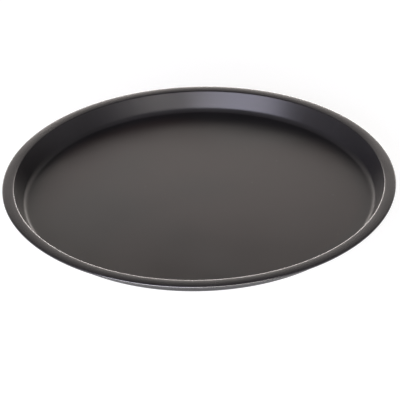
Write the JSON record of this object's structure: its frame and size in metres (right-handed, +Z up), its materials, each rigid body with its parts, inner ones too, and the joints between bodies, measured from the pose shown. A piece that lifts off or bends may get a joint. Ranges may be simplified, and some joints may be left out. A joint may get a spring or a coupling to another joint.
{
  "type": "pizza pan",
  "caption": "Round, shallow baking pan of dark coated sheet steel, with a flat base, a leaning wall, a narrow flat flange and a wired, rolled edge.",
  "frame": {"origin": "centre of the base's underside, on the pan's axis", "axes": "+Z up along the pan's axis, out of its open side; the pan is round, so X and Y are any two level directions"},
  "size_m": [0.32, 0.32, 0.0167],
  "materials": {
    "non_stick_coat": "satin dark grey non-stick coat, baked on",
    "wire_steel": "plain drawn steel wire"
  },
  "bodies": {
    "root": {"pan_body": "non_stick_coat", "rim_wire": "wire_steel"}
  },
  "joints": []
}
